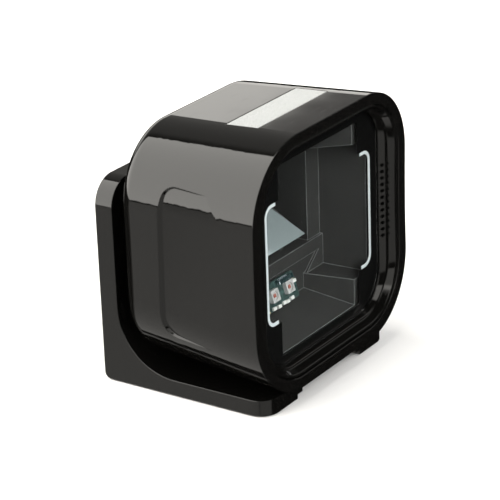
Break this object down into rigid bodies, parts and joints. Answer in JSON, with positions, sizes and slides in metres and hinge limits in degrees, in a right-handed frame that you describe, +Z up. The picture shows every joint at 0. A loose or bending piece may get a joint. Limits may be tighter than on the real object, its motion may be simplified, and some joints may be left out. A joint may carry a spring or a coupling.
{
  "type": "presentation barcode scanner",
  "caption": "Compact upright hands-free barcode scanner: tapered gloss black head with one large window and a light key on top, tilting on an L-shaped stand.",
  "frame": {"origin": "centre of the footprint, on the surface the rubber feet stand on", "axes": "+X right seen from the front, +Y to the rear (the window faces -Y), +Z up"},
  "size_m": [0.08, 0.0582, 0.0794],
  "materials": {
    "gloss_black": "piano gloss, moulded",
    "matt_black": "fine matt",
    "black_rubber": "matt rubber",
    "foam_rubber": "closed-cell foam",
    "plated_steel": "zinc plated",
    "spring_steel": "bright spring steel",
    "black_screw": "black oxide",
    "clear_pane": "polished, hard coated",
    "clear_lens": "polished, coated",
    "black_print": "printed ink behind the pane",
    "white_print": "printed ink behind the pane",
    "mirror_coat": "first-surface mirror",
    "board_green": "solder mask",
    "chip_black": "moulded epoxy",
    "led_white": "moulded package",
    "led_red": "die under clear resin",
    "part_white": "moulded nylon or ceramic",
    "can_aluminium": "satin can",
    "ribbon_amber": "polyimide film",
    "contact_gold": "gold plated",
    "key_white": "translucent, diffusing",
    "label_grey": "blank printed film"
  },
  "bodies": {
    "stand": {"stand_bracket": "gloss_black", "foot_pads": "black_rubber", "stand_hinge_plate": "plated_steel", "hinge_plate_screws": "plated_steel", "hinge_pin": "plated_steel", "pin_rings": "spring_steel", "friction_washers": "spring_steel"},
    "head": {"aimer_window": "clear_lens", "aiming_marks": "white_print", "baffle_screws": "plated_steel", "board_capacitors": "can_aluminium", "cable_socket": "matt_black", "camera_board": "board_green", "camera_ribbon": "ribbon_amber", "camera_screws": "plated_steel", "case_screws": "black_screw", "fold_mirror": "mirror_coat", "front_bezel": "gloss_black", "front_lens": "clear_lens", "head_hinge_bracket": "plated_steel", "head_hinge_screws": "plated_steel", "hinge_backing_plate": "plated_steel", "housing_shell": "gloss_black", "illumination_leds": "led_white", "image_sensor": "chip_black", "indicator_board": "board_green", "indicator_leds": "led_white", "indicator_screws": "plated_steel", "key_switches": "chip_black", "led_board": "board_green", "led_dies": "led_red", "led_ribbon": "ribbon_amber", "led_small_parts": "part_white", "lens_barrel": "matt_black", "lens_holder": "matt_black", "main_board": "board_green", "mirror_carrier": "matt_black", "optical_baffle": "matt_black", "processor_chip": "chip_black", "rating_label": "label_grey", "ribbon_connectors": "part_white", "scan_window": "clear_pane", "shield_can": "spring_steel", "socket_contacts": "contact_gold", "speaker_cone": "ribbon_amber", "speaker_frame": "matt_black", "window_gasket": "foam_rubber", "window_mask": "black_print"},
    "key": {"light_key": "key_white", "switch_plungers": "part_white"}
  },
  "joints": [
    {"name": "head_tilt", "type": "hinge", "parent": "stand", "child": "head", "pos_m": [0, 0.01885, 0.046], "axis": [-1, 0, 0], "range_deg": [0, 15]},
    {"name": "key_press", "type": "slide", "parent": "head", "child": "key", "axis": [0, 0, -1], "range_m": [0, 0.0005], "stiffness_N_per_m": 3000, "springref_m": -0.00002}
  ]
}
